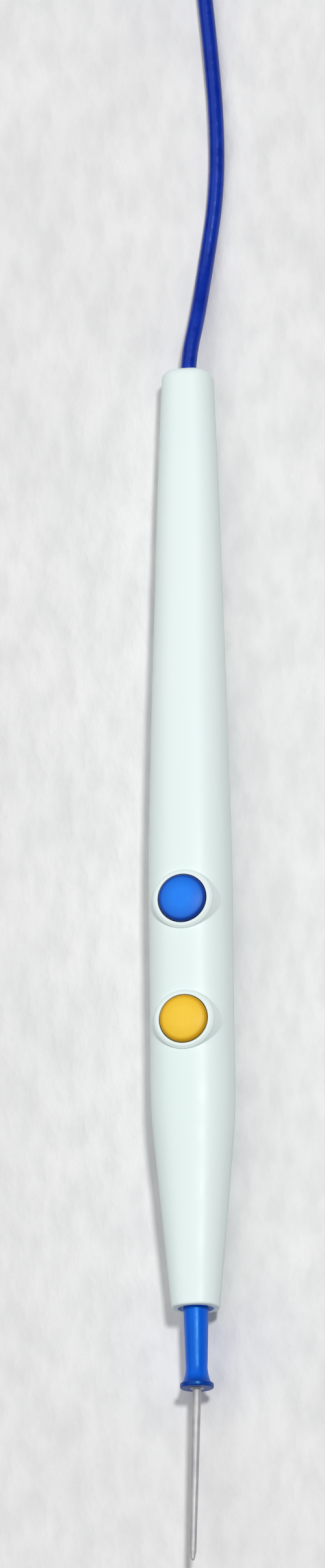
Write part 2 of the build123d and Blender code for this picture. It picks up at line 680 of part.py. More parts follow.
def tie_prism(grow, width):
    """Prism along the hank's waist with the tie's inner outline, grown by an amount."""
    low = TIE_THICKNESS + FIT - grow
    high = HANK_HEIGHT + FIT + grow
    across = HANK_WAIST_WIDTH + 2 * (FIT + grow)
    plane = Plane(origin=(0, -width / 2, (low + high) / 2), x_dir=(1, 0, 0), z_dir=(0, 1, 0))
    return extrude(plane * RectangleRounded(across, high - low, HANK_EDGE + grow), amount=width)


def cord_hank():
    """Closed body of the turns, drawn in under the tie."""
    body = extrude(hank_outline(), amount=HANK_HEIGHT)
    body = fillet(body.edges().group_by(Axis.Z)[0] + body.edges().group_by(Axis.Z)[-1], HANK_EDGE)
    width = TIE_WIDTH + 2 * TIE_NOTCH_GAP
    return hank_place() * (body - (Box(TOOL, width, TOOL) - tie_prism(-FIT, width)))


def hank_tie():
    """Flat band round the hank's waist with its ends twisted together on top."""
    band = tie_prism(TIE_THICKNESS, TIE_WIDTH) - tie_prism(0, TIE_WIDTH)
    twist = Cylinder(TIE_TWIST_DIAMETER / 2, TIE_TWIST_LENGTH, align=(Align.CENTER, Align.CENTER, Align.MIN))
    root = Pos(0, 0, HANK_HEIGHT + FIT + (TIE_THICKNESS + TIE_TWIST_DIAMETER) / 2)
    return hank_place() * (band + root * Rot(0, TIE_TWIST_TILT, TIE_TWIST_TURN) * twist)


# Plug: two shells round three pins and a tapered cord boot
def plug_at(along, x=0.0):
    """Place in the plug, measured from the cord end of its boot."""
    return Pos(PLUG_X + x, BACK_Y + PLUG_FROM_BACK + along, PLUG_THICKNESS / 2)


def plug_turned(outline, along, x=0.0):
    """Revolved piece along the plug's axis from (along, radius) points."""
    face = make_face(Polyline(outline, close=True))
    return plug_at(along, x) * (Rot(0, 0, 90) * revolve(face, Axis.X))


def pin_outline(gap):
    """Half section of a pin, or of its seat with a gap added."""
    front = PIN_REACH + gap
    corner = PIN_NOSE * (1 - math.sqrt(0.5))
    return [
        (-PIN_TAIL - gap, 0),
        (-PIN_TAIL - gap, PIN_TAIL_DIAMETER / 2 + gap),
        (-PIN_COLLAR_DEPTH - PIN_COLLAR - gap, PIN_TAIL_DIAMETER / 2 + gap),
        (-PIN_COLLAR_DEPTH - PIN_COLLAR - gap, PIN_COLLAR_DIAMETER / 2 + gap),
        (-PIN_COLLAR_DEPTH + gap, PIN_COLLAR_DIAMETER / 2 + gap),
        (-PIN_COLLAR_DEPTH + gap, PIN_NECK_DIAMETER / 2 + gap),
        (PIN_NECK_PROUD, PIN_NECK_DIAMETER / 2 + gap),
        (PIN_NECK_PROUD, PIN_DIAMETER / 2 + gap),
        (front - PIN_NOSE, PIN_DIAMETER / 2 + gap),
        (front - corner, PIN_DIAMETER / 2 + gap - corner),
        (front, PIN_DIAMETER / 2 + gap - PIN_NOSE),
        (front, 0),
    ]


def boot_outline(gap):
    """Half section of the cord boot, without its grooves."""
    return [
        (0, 0),
        (0, BOOT_END_DIAMETER / 2 + gap),
        (PLUG_START, BOOT_ROOT_DIAMETER / 2 + gap),
        (PLUG_START + BOOT_SEAT / 2 - gap, BOOT_ROOT_DIAMETER / 2 + gap),
        (PLUG_START + BOOT_SEAT / 2 - gap, BOOT_SEAT_DIAMETER / 2 + gap),
        (BOOT_LENGTH + gap, BOOT_SEAT_DIAMETER / 2 + gap),
        (BOOT_LENGTH + gap, 0),
    ]


def plug_body():
    """Both halves together: rounded block with sloped shoulders and grip ribs."""
    outline = Polyline(
        (-PLUG_NECK_WIDTH / 2, 0),
        (-PLUG_WIDTH / 2, PLUG_SHOULDER),
        (-PLUG_WIDTH / 2, PLUG_LENGTH),
        (PLUG_WIDTH / 2, PLUG_LENGTH),
        (PLUG_WIDTH / 2, PLUG_SHOULDER),
        (PLUG_NECK_WIDTH / 2, 0),
        close=True,
    )
    flat = make_face(outline)
    shoulders = flat.vertices().filter_by(lambda v: v.Y < PLUG_LENGTH - 1)
    flat = fillet(shoulders, PLUG_CORNER)
    flat = fillet(flat.vertices().filter_by(lambda v: v.Y > PLUG_LENGTH - 1), PLUG_EDGE)
    block = extrude(flat, amount=PLUG_THICKNESS / 2, both=True)
    block = fillet(block.edges().filter_by(Axis.Z, reverse=True), PLUG_EDGE)
    first = PLUG_SHOULDER + PLUG_CORNER
    for k in range(PLUG_GRIP_RIBS):
        for side in (-1, 1):
            place = Pos(side * PLUG_WIDTH / 2, first + k * PLUG_GRIP_PITCH, 0)
            block -= place * Cylinder(PLUG_GRIP_DEPTH, TOOL)
    body = plug_at(PLUG_START) * block
    for x in PIN_PLACES.values():
        body -= plug_turned(pin_outline(FIT), PLUG_FACE, x)
    return body - plug_turned(boot_outline(FIT), 0)


def plug_half(body, side):
    """The half over or under the plug's middle plane."""
    align = Align.MIN if side > 0 else Align.MAX
    block = Box(2 * TOOL, 2 * TOOL, TOOL, align=(Align.CENTER, Align.CENTER, align))
    return body & (plug_at(PLUG_START) * block)


def plug_strain_relief():
    """Tapered boot with cut-away rings so that it bends."""
    boot = plug_turned(boot_outline(0), 0)
    core = CORD_DIAMETER / 2 + BOOT_CORE_WALL
    past = BOOT_SEAT_DIAMETER
    ring = [(0, core), (0, past), (BOOT_RING_GROOVE, past), (BOOT_RING_GROOVE, core)]
    pitch = PLUG_START / (BOOT_RINGS + 1)
    for k in range(BOOT_RINGS):
        boot -= plug_turned(ring, pitch * (k + 1) - BOOT_RING_GROOVE / 2)
    return boot


# Build every piece
os.makedirs("parts", exist_ok=True)

outer_form = handle_form(0)
back_edge = outer_form.edges().group_by(Axis.Y)[-1]
outer_form = outer_form.fillet(END_ROUNDING, back_edge)
outer_form = outer_form.fillet(NOSE_ROUNDING, outer_form.edges().group_by(Axis.Y)[0])
hollow_form = cavity()

save("lower_shell", lower_shell(outer_form, hollow_form))
save("upper_shell", upper_shell(outer_form, hollow_form))
save("cut_button", button(CUT_BUTTON_FROM_NOSE))
save("coag_button", button(COAG_BUTTON_FROM_NOSE))
save("cut_dome", snap_dome(CUT_BUTTON_FROM_NOSE))
save("coag_dome", snap_dome(COAG_BUTTON_FROM_NOSE))
save("switch_board", switch_board())
save("electrode_sleeve", electrode_sleeve())
save("electrode_needle", electrode_needle())
save("electrode_socket", electrode_socket())
save("contact_strip", contact_strip())
save("active_lead", active_lead())
save("cut_lead", switch_lead(-1))
save("coag_lead", switch_lead(1))
save("cord_grommet", cord_grommet())
save("cord", cord_tube("cord", CORD_ROUTE))
save("cord_hank", cord_hank())
save("hank_tie", hank_tie())
save("cord_tail", cord_tube("cord_tail", TAIL_ROUTE))
whole_plug = plug_body()
save("plug_upper_shell", plug_half(whole_plug, 1))
save("plug_lower_shell", plug_half(whole_plug, -1))
save("plug_strain_relief", plug_strain_relief())
for pin_name, pin_x in PIN_PLACES.items():
    save(pin_name, plug_turned(pin_outline(0), PLUG_FACE, pin_x))
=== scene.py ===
# %% [markdown]
# # Dressing an electrosurgical pencil
# A hand-switched pencil is a slim plastic handle that a surgeon holds like a pen. It carries a
# needle electrode in front, two buttons on its back, and a thin cord that runs to a generator.
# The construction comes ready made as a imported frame: every piece is at its real size, in metres,
# tip toward -Y, cord toward +Y, buttons up. This lesson adds what a frame has no room for: the
# finish of each surface, the cord at its real three metres, and the light.

import math
import random

import bpy
from mathutils import Matrix, Vector


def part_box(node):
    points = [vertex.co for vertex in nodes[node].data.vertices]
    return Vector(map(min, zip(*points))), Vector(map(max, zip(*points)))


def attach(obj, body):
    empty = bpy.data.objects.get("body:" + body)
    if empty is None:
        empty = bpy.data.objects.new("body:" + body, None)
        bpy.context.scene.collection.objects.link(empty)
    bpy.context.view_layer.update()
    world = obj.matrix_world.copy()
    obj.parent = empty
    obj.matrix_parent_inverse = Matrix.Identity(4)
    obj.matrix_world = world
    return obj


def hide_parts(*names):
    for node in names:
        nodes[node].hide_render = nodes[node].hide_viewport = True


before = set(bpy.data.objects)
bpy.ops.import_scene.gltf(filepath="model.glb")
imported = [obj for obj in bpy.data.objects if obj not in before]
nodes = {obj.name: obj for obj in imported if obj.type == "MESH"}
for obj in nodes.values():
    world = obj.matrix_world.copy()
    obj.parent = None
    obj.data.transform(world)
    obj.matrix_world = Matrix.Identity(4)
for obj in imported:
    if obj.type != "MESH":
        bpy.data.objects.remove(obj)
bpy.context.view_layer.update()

# %% [markdown]
# ## The camera
# The photograph looks down on the pencil, from a little to its right and from the tip's side. It
# could be placed by hand, but three small turns say it better: start straight above with the cord
# up the picture, lean toward the tip, roll to the right, and turn in the picture plane. A long
# lens keeps the handle's two sides nearly parallel, as they are in the photograph.

# %% Camera
VIEW_HEIGHT = 0.2672
LENS = 240.0
SENSOR = 36.0
LEAN_TO_TIP = math.radians(15.7)
ROLL_TO_RIGHT = math.radians(12.0)
TURN_IN_PICTURE = math.radians(-0.63)
LOOK_AT = Vector((-0.0051, 0.0310, 0.0050))

camera_data = bpy.data.cameras.new("camera")
camera_data.lens = LENS
camera_data.sensor_width = SENSOR
camera_turn = (
    Matrix.Rotation(ROLL_TO_RIGHT, 3, "Y")
    @ Matrix.Rotation(LEAN_TO_TIP, 3, "X")
    @ Matrix.Rotation(TURN_IN_PICTURE, 3, "Z")
)
camera = bpy.data.objects.new("camera", camera_data)
bpy.context.scene.collection.objects.link(camera)
camera_distance = VIEW_HEIGHT * LENS / SENSOR
camera_data.clip_end = 10 * camera_distance
camera.location = LOOK_AT + camera_turn @ Vector((0, 0, camera_distance))
camera.rotation_mode = "QUATERNION"
camera.rotation_quaternion = camera_turn.to_quaternion()
bpy.context.scene.camera = camera
print("camera", [round(v, 4) for v in camera.location], "distance", round(camera_distance, 3))

# %% [markdown]
# ## The cord
# The cord is a 2.7 mm round vinyl jacket over three fine wires, 3 m long. The photograph shows
# about 70 mm of it. The rest is put away as it comes out of its pouch: folded into a flat hank
# with a twisted tie round the middle, and the plug beyond it.
#
# A cord could be a mesh tube, but a curve keeps its centreline, so its length can be measured. One
# NURBS spline of order 3 stays smooth however few points it has. The stretch behind the handle is
# a list of given points. Each point is its place across, its distance behind the handle
# and its height.

# %% Route behind the handle and from the hank to the plug
CORD_DIAMETER = 0.0027
FLOOR_LEVEL = CORD_DIAMETER / 2 + 0.00003
back_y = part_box("upper_shell")[1].y
ROUTE_TO_HANK = [
    (0.0, -0.002, 0.00435),
    (0.00015, 0.003, 0.0043),
    (0.0016, 0.010, 0.0035),
    (0.0027, 0.0195, FLOOR_LEVEL),
    (0.0049, 0.033, FLOOR_LEVEL),
    (0.0051, 0.046, FLOOR_LEVEL),
    (0.0041, 0.060, FLOOR_LEVEL),
    (0.0028, 0.074, FLOOR_LEVEL),
    (0.0030, 0.087, FLOOR_LEVEL),
    (0.0039, 0.100, FLOOR_LEVEL),
]
ROUTE_TO_PLUG = [
    (0.0040, 0.146, 0.0149),
    (0.0039, 0.156, 0.0146),
    (0.0022, 0.166, 0.0120),
    (-0.0012, 0.176, 0.0086),
    (-0.0043, 0.186, 0.0065),
    (-0.0050, 0.196, 0.0062),
]
print("points by hand:", len(ROUTE_TO_HANK) + len(ROUTE_TO_PLUG))

# %% [markdown]
# The hank is wound in layers of three turns. A layer runs inward, the next one outward, so that
# the cord never jumps across. Each turn has two round ends and a drawn-in waist where the tie
# holds it. Control points lie outside the line that a spline of order 3 draws, so the ends' radius
# is enlarged by the amount that the line cuts inside them. Every change of column or layer happens
# on the near end, where there is room for it.

# %% Turns of the hank
LAYERS = 6
COLUMNS = 3
TURN_PITCH = CORD_DIAMETER * 1.008
INNER_RADIUS = 0.0087
HANK_X = -0.0095
HANK_MIDDLE = 0.1245
HALF_RUN = 0.022
WAIST_HALF_LENGTH = 0.005
WAIST_LIFT = 0.00065
WAIST_LAYER_PITCH = 0.00264
ARC_STEP = 30
CUT_INSIDE = (3 + math.cos(math.radians(ARC_STEP))) / 4
RISE_BULGE = 0.15
ARC_STEPS = range(-30, 211, ARC_STEP)
SHIFT_START = 10
SHIFT_SPAN = 160
LOOSENESS = 0.00008
loose = random.Random(7)


def hank_point(across, along, level):
    """Point of the hank with the small unevenness of a cord wound by hand."""
    slack = [loose.uniform(-LOOSENESS, LOOSENESS) for _ in range(2)]
    return (HANK_X + across + slack[0], HANK_MIDDLE + along + slack[1], level)


def end_point(side, degrees, column, layer):
    """Point on the far (side 1) or near (side -1) round end."""
    radius = (INNER_RADIUS + column * TURN_PITCH) / CUT_INSIDE
    angle = math.radians(degrees)
    level = FLOOR_LEVEL + layer * TURN_PITCH
    return hank_point(radius * math.cos(angle), side * HALF_RUN + radius * math.sin(angle), level)


def waist_points(side, column, layer):
    """Two points of a straight pass through the tie, on the right (1) or left (-1)."""
    across = side * (CORD_DIAMETER / 2 + column * TURN_PITCH)
    level = FLOOR_LEVEL + WAIST_LIFT + layer * WAIST_LAYER_PITCH
    return [hank_point(across, side * step * WAIST_HALF_LENGTH, level) for step in (-1, 1)]


# %% [markdown]
# A turn starts at the waist on the right, goes round the far end, comes back on the left and goes
# round the near end, where it shifts to the next place. The last turn leaves at the far end.


# %% Wind the hank
def winding_order():
    """Places of the turns, as (column, layer), in the order they are wound."""
    order = []
    for layer in range(LAYERS):
        columns = range(COLUMNS) if layer % 2 else reversed(range(COLUMNS))
        order += [(column, layer) for column in columns]
    return order


def near_end(here, after):
    """Points round the near end, where a turn moves over to the next place."""
    rises = after[1] > here[1]
    bulge = 0.0
    if rises:
        bulge = RISE_BULGE if here[0] else -RISE_BULGE
    points = []
    for degrees in ARC_STEPS:
        share = min(max((degrees - SHIFT_START) / SHIFT_SPAN, 0.0), 1.0)
        column = here[0] + share * (after[0] - here[0]) + bulge * math.sin(math.pi * share)
        layer = here[1] + share * (after[1] - here[1])
        points.append(end_point(-1, degrees + 180, column, layer))
    return points


def wind_hank():
    order = winding_order()
    points = []
    for here, after in zip(order, order[1:]):
        points += waist_points(1, *here)
        points += [end_point(1, degrees, *here) for degrees in ARC_STEPS]
        points += waist_points(-1, *here)
        points += near_end(here, after)
    return points + waist_points(1, *order[-1])


hank_route = wind_hank()
print("hank:", LAYERS * COLUMNS, "turns,", len(hank_route), "points")

# %% [markdown]
# Blender's order and end settings only hold for points that exist already, so they are set after
# the points are added. Set before, they would leave a polygon. A curve could be the cord itself,
# but Blender boxes a curve a metre too large on every side. So the cord is a tube made from the
# curve, and the curve's bare line is kept to say how long it is.


# %% Make the cord
def mesh_of(curve, section_radius):
    """Mesh of a curve with a round section, or its bare line if the section is zero."""
    curve.bevel_depth = section_radius
    stand_in = bpy.data.objects.new("stand_in", curve)
    bpy.context.scene.collection.objects.link(stand_in)
    bpy.context.view_layer.update()
    evaluated = stand_in.evaluated_get(bpy.context.evaluated_depsgraph_get())
    mesh = bpy.data.meshes.new_from_object(evaluated)
    bpy.data.objects.remove(stand_in)
    return mesh


route = ROUTE_TO_HANK + hank_route + ROUTE_TO_PLUG
cord_curve = bpy.data.curves.new("cord_line", "CURVE")
cord_curve.dimensions = "3D"
cord_spline = cord_curve.splines.new("NURBS")
cord_spline.points.add(len(route) - 1)
for point, (x, behind, z) in zip(cord_spline.points, route):
    point.co = (x, back_y + behind, z, 1)
cord_spline.order_u = 3
cord_spline.use_endpoint_u = True
cord_spline.resolution_u = 6
cord_curve.bevel_resolution = 6
cord_curve.use_fill_caps = True
cord_line = [v.co.copy() for v in mesh_of(cord_curve, 0).vertices]
cord = bpy.data.objects.new("free_cord", mesh_of(cord_curve, CORD_DIAMETER / 2))
bpy.context.scene.collection.objects.link(cord)
cord_length = sum((b - a).length for a, b in zip(cord_line, cord_line[1:]))
print("cord:", round(cord_length, 3), "m long,", len(cord.data.polygons), "faces")

# %% Say what the cord is
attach(cord, "handle")
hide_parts("cord", "cord_hank", "cord_tail")

# %% [markdown]
# ## The tie
# The tie is a flat white strip with a wire down its middle, bent round the waist of the hank and
# twisted together on top. It is built as a strip: one cross-section is carried along a path, and
# faces join each section to the next.


# %% A strip carried along a path
def sweep_strip(name, path, across, section, closed):
    """Mesh of a section carried along a path. across gives each point's sideways direction."""
    vertices = []
    count = len(path)
    for k, point in enumerate(path):
        ahead = path[(k + 1) % count] if closed or k + 1 < count else point
        behind = path[k - 1] if closed or k else point
        along = (ahead - behind).normalized()
        side = (across[k] - along * across[k].dot(along)).normalized()
        up = side.cross(along)
        vertices += [point + side * u + up * v for u, v in section]
    size = len(section)
    faces = []
    for k in range(count if closed else count - 1):
        for j in range(size):
            corners = (k * size + j, k * size + (j + 1) % size)
            following = ((k + 1) % count * size + (j + 1) % size, (k + 1) % count * size + j)
            faces.append(corners + following)
    if not closed:
        faces.append(tuple(reversed(range(size))))
        faces.append(tuple(range((count - 1) * size, count * size)))
    mesh = bpy.data.meshes.new(name)
    mesh.from_pydata([tuple(v) for v in vertices], [], faces)
    mesh.polygons.foreach_set("use_smooth", [True] * len(faces))
    mesh.update()
    piece = bpy.data.objects.new(name, mesh)
    bpy.context.scene.collection.objects.link(piece)
    return piece


def tie_section(width, thickness, wire):
    """Flat strip that swells over the wire in its middle."""
    reach = [-0.5, -0.46, -0.2, -0.1, 0.0, 0.1, 0.2, 0.46, 0.5]
    swell = [0.0, 0.0, 0.0, 0.7, 1.0, 0.7, 0.0, 0.0, 0.0]
    edge = [0.3, 1.0, 1.0, 1.0, 1.0, 1.0, 1.0, 1.0, 0.3]
    upper = [(u * width, e * thickness / 2 + s * wire) for u, s, e in zip(reach, swell, edge)]
    lower = [(u * width, -e * thickness / 2 - s * wire) for u, s, e in zip(reach, swell, edge)]
    return upper + lower[::-1]


# %% Band round the waist
tie_low, tie_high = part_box("hank_tie")
TIE_WIDTH = 0.0046
TIE_THICKNESS = 0.00028
TIE_WIRE = 0.00012
TIE_CORNER = 0.0025
TIE_CORNER_STEPS = 8
TIE_INSET = 0.0003
TIE_TOP = 0.01718
tie_middle_y = back_y + HANK_MIDDLE
tie_half_width = (tie_high.x - tie_low.x) / 2 - TIE_INSET


def rounded_loop(half_width, low, high, radius, steps):
    """Closed path of a rounded rectangle across the hank."""
    loop = []
    for corner_x, corner_z, start in (
        (half_width - radius, high - radius, 0),
        (-half_width + radius, high - radius, 90),
        (-half_width + radius, low + radius, 180),
        (half_width - radius, low + radius, 270),
    ):
        for step in range(steps + 1):
            angle = math.radians(start + 90 * step / steps)
            x = HANK_X + corner_x + radius * math.cos(angle)
            loop.append(Vector((x, tie_middle_y, corner_z + radius * math.sin(angle))))
    return loop


tie_bottom = tie_low.z + TIE_INSET
band_path = rounded_loop(tie_half_width, tie_bottom, TIE_TOP, TIE_CORNER, TIE_CORNER_STEPS)
band = sweep_strip(
    "tie_band",
    band_path,
    [Vector((0, 1, 0))] * len(band_path),
    tie_section(TIE_WIDTH, TIE_THICKNESS, TIE_WIRE),
    True,
)
print("tie band:", len(band.data.polygons), "faces")

# %% [markdown]
# The two ends of the tie are wound round each other. Each end is a strip whose path is a helix and
# whose sideways direction turns with it, half a turn apart from the other end.

# %% Twisted ends
TWIST_LENGTH = 0.0088
TWIST_TURNS = 3.5
TWIST_RADIUS = 0.00042
TWIST_SPREAD = 0.5
TWIST_RAISE = 0.0008
TWIST_STRIP_WIDTH = 0.0017
TWIST_STEPS = 72
TWIST_LIFT = math.radians(8)
TWIST_SWING = math.radians(25)
level_reach = math.cos(TWIST_LIFT)
twist_along = Vector(
    (
        level_reach * math.cos(TWIST_SWING),
        level_reach * math.sin(TWIST_SWING),
        math.sin(TWIST_LIFT),
    )
)
twist_side = twist_along.cross(Vector((0, 0, 1))).normalized()
twist_up = twist_side.cross(twist_along)
twist_start = Vector((HANK_X, tie_middle_y, TIE_TOP)) + twist_up * TWIST_RAISE
twist_section = tie_section(TWIST_STRIP_WIDTH, TIE_THICKNESS, TIE_WIRE)
twist_ends = []
for number in range(2):
    path = []
    across = []
    for step in range(TWIST_STEPS + 1):
        share = step / TWIST_STEPS
        angle = 2 * math.pi * (TWIST_TURNS * share + number / 2)
        spread = TWIST_RADIUS * (1 + TWIST_SPREAD * share)
        out = twist_side * math.cos(angle) + twist_up * math.sin(angle)
        path.append(twist_start + twist_along * (TWIST_LENGTH * share) + out * spread)
        across.append(twist_up * math.cos(angle) - twist_side * math.sin(angle))
    end = sweep_strip(f"tie_end_{number + 1}", path, across, twist_section, False)
    twist_ends.append(end)
tie_pieces = [band] + twist_ends
for piece in tie_pieces:
    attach(piece, "handle")
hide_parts("hank_tie")

# %% [markdown]
# ## Materials
# Every finish starts from Blender's Principled shader, because one shader that covers plastic,
# rubber and metal keeps them comparable. What makes a surface look real is that nothing on it is
# quite even, so each finish gets a cloud of colour, a cloud of roughness and a fine relief. All
# three read the object's own coordinates, in metres, so they stay put when the piece moves.


# %% Building blocks for materials
def new_finish(name, metallic=0.0):
    """A material and its Principled shader."""
    finish = bpy.data.materials.new(name)
    finish.use_nodes = True
    shader = finish.node_tree.nodes["Principled BSDF"]
    shader.inputs["Metallic"].default_value = metallic
    return finish, shader


def place_in(finish, stretch=(1.0, 1.0, 1.0), turn=0.0):
    """Object coordinates, stretched to draw a pattern out one way, and turned about Z."""
    tree = finish.node_tree
    where = tree.nodes.new("ShaderNodeTexCoord")
    mapping = tree.nodes.new("ShaderNodeMapping")
    mapping.inputs["Scale"].default_value = stretch
    mapping.inputs["Rotation"].default_value = (0.0, 0.0, turn)
    tree.links.new(where.outputs["Object"], mapping.inputs["Vector"])
    return mapping.outputs["Vector"]


def cloud(finish, size, detail=3.0, stretch=(1.0, 1.0, 1.0), turn=0.0):
    """Noise whose features are about size metres across."""
    tree = finish.node_tree
    noise = tree.nodes.new("ShaderNodeTexNoise")
    noise.inputs["Scale"].default_value = 1.0 / size
    noise.inputs["Detail"].default_value = detail
    tree.links.new(place_in(finish, stretch, turn), noise.inputs["Vector"])
    return noise.outputs["Fac"]


def remap(finish, value, low, high, from_low=0.3, from_high=0.7):
    """A value moved from one range into another, held at both ends."""
    tree = finish.node_tree
    node = tree.nodes.new("ShaderNodeMapRange")
    node.inputs["From Min"].default_value = from_low
    node.inputs["From Max"].default_value = from_high
    node.inputs["To Min"].default_value = low
    node.inputs["To Max"].default_value = high
    tree.links.new(value, node.inputs["Value"])
    return node.outputs["Result"]


def blend_colours(finish, share, first, second):
    """Colour between two others. Each is a colour or the output of another node."""
    tree = finish.node_tree
    mix = tree.nodes.new("ShaderNodeMix")
    mix.data_type = "RGBA"
    tree.links.new(share, mix.inputs["Factor"])
    for value, socket in ((first, mix.inputs["A"]), (second, mix.inputs["B"])):
        if isinstance(value, bpy.types.NodeSocket):
            tree.links.new(value, socket)
        else:
            socket.default_value = (*value, 1.0)
    return mix.outputs["Result"]


def relief(finish, height, depth, below=None):
    """Bump of a depth in metres, laid over another bump if one is given."""
    tree = finish.node_tree
    bump = tree.nodes.new("ShaderNodeBump")
    bump.inputs["Distance"].default_value = depth
    tree.links.new(height, bump.inputs["Height"])
    if below is not None:
        tree.links.new(below, bump.inputs["Normal"])
    return bump.outputs["Normal"]


def connect(finish, shader, **sockets):
    """Links outputs to the shader's sockets by name."""
    for name, output in sockets.items():
        finish.node_tree.links.new(output, shader.inputs[name.replace("_", " ")])


print("material blocks ready")

# %% [markdown]
# ### Handle plastic
# The shells are moulded in a very pale mint ABS. It could be plain white with a tint, but a mould
# leaves more than that: a faint flow cloud along the handle, a soft spark-eroded grain, and a hair
# line where the two shells are welded. The line is drawn by the distance from the parting plane,
# which falls from the electrode's axis at the nose to the cord's axis at the back.


# %% Handle plastic
WELD_WIDTH = 0.00012


def parting_line(finish, width):
    """One on the weld line between the shells and zero away from it."""
    tree = finish.node_tree
    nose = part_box("upper_shell")[0].y
    nose_z = (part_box("electrode_sleeve")[0].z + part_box("electrode_sleeve")[1].z) / 2
    fall = (nose_z - ROUTE_TO_HANK[0][2]) / (back_y - nose)
    apart = tree.nodes.new("ShaderNodeSeparateXYZ")
    tree.links.new(place_in(finish), apart.inputs["Vector"])
    tilt = tree.nodes.new("ShaderNodeMath")
    tilt.operation = "MULTIPLY_ADD"
    tilt.inputs[1].default_value = fall
    tree.links.new(apart.outputs["Y"], tilt.inputs[0])
    tree.links.new(apart.outputs["Z"], tilt.inputs[2])
    away = tree.nodes.new("ShaderNodeMath")
    away.operation = "SUBTRACT"
    away.inputs[1].default_value = nose_z + fall * nose
    tree.links.new(tilt.outputs["Value"], away.inputs[0])
    size = tree.nodes.new("ShaderNodeMath")
    size.operation = "ABSOLUTE"
    tree.links.new(away.outputs["Value"], size.inputs[0])
    return remap(finish, size.outputs["Value"], 1.0, 0.0, 0.2 * width, width)


def handle_plastic():
    finish, shader = new_finish("handle_plastic")
    flow = cloud(finish, 0.02, 2.0, (1.0, 0.35, 1.0))
    flow = remap(finish, flow, 0.0, 1.0)
    tone = blend_colours(finish, flow, (0.80, 0.92, 0.90), (0.84, 0.94, 0.925))
    line = parting_line(finish, WELD_WIDTH)
    colour = blend_colours(finish, line, tone, (0.52, 0.62, 0.62))
    grain = relief(finish, cloud(finish, 0.00035, 4.0), 0.000012)
    seam = relief(finish, remap(finish, line, 1.0, 0.0, 0.0, 1.0), 0.00008, grain)
    rough = remap(finish, cloud(finish, 0.006, 4.0), 0.36, 0.48)
    connect(finish, shader, Base_Color=colour, Roughness=rough, Normal=seam)
    shader.inputs["Specular IOR Level"].default_value = 0.32
    return finish


handle_finish = handle_plastic()
print("finish", handle_finish.name)

# %% [markdown]
# ### Buttons
# The buttons are moulded in solid colours, yellow to cut and blue to coagulate. Their crowns are
# polished where a finger rubs and duller at the edge, so roughness grows away from the middle. The
# colour is painted darker toward the rim and darker still at the steep edge, as painted shade for
# the steep sides that turn away from the light, so each button has three colours.


# %% Button plastic
POLISHED_RADIUS = 0.0015
EDGE_SHADE_FROM = 0.56
EDGE_SHADE_TO = 0.80


def away_from_middle(finish, node):
    """Zero over the middle of a round piece, one at its rim."""
    low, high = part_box(node)
    tree = finish.node_tree
    where = place_in(finish)
    gap = tree.nodes.new("ShaderNodeVectorMath")
    gap.operation = "DISTANCE"
    gap.inputs[1].default_value = ((low.x + high.x) / 2, (low.y + high.y) / 2, high.z)
    tree.links.new(where, gap.inputs[0])
    return remap(finish, gap.outputs["Value"], 0.0, 1.0, POLISHED_RADIUS, (high.x - low.x) / 2)


def button_plastic(node, middle, rim, edge):
    finish, shader = new_finish(f"{node}_plastic")
    shader.inputs["Specular IOR Level"].default_value = 0.2
    rise = away_from_middle(finish, node)
    # Painted shade: the colour deepens from the middle toward the rim and again at the steep edge,
    # for the steep sides that turn away from the light.
    tone = blend_colours(finish, rise, middle, rim)
    tone = blend_colours(finish, remap(finish, rise, 0.0, 1.0, EDGE_SHADE_FROM, EDGE_SHADE_TO), tone, edge)
    mottle = remap(finish, cloud(finish, 0.0012, 3.0), 0.0, 0.10)
    colour = blend_colours(finish, mottle, tone, rim)
    grain = relief(finish, cloud(finish, 0.00025, 3.0), 0.000008)
    rough = remap(finish, rise, 0.26, 0.42, 0.0, 1.0)
    connect(finish, shader, Base_Color=colour, Roughness=rough, Normal=grain)
    return finish


# Each is the lit colour, the painted shade toward the rim, and the deeper painted shade at the
# steep edge.
YELLOW_WITH_PAINTED_SHADE = (0.97, 0.63, 0.05), (0.86, 0.50, 0.01), (0.60, 0.31, 0.003)
BLUE_WITH_PAINTED_SHADE = (0.008, 0.23, 0.96), (0.002, 0.10, 0.60), (0.001, 0.03, 0.26)
cut_finish = button_plastic("cut_button", *YELLOW_WITH_PAINTED_SHADE)
coag_finish = button_plastic("coag_button", *BLUE_WITH_PAINTED_SHADE)
print("finishes", cut_finish.name, coag_finish.name)

# %% [markdown]
# ### Blue insulation and cord jacket
# The electrode's sleeve is a bright, smooth nylon. The cord's jacket is a softer vinyl of a deeper
# blue, and the lay of the wires under it shows as slow waves. Both could reflect white, but in the
# photograph their highlights are only lighter blues, so the highlight is tinted. The front of the
# sleeve's flange is painted a deeper blue, as painted shade for its face that turns away from the
# lamps.


# %% Blue plastics
# Painted shade on the flange: full depth up to the first distance behind the front, gone by the
# second.
FLANGE_SHADE_FULL = 0.0007
FLANGE_SHADE_FADE = 0.0022


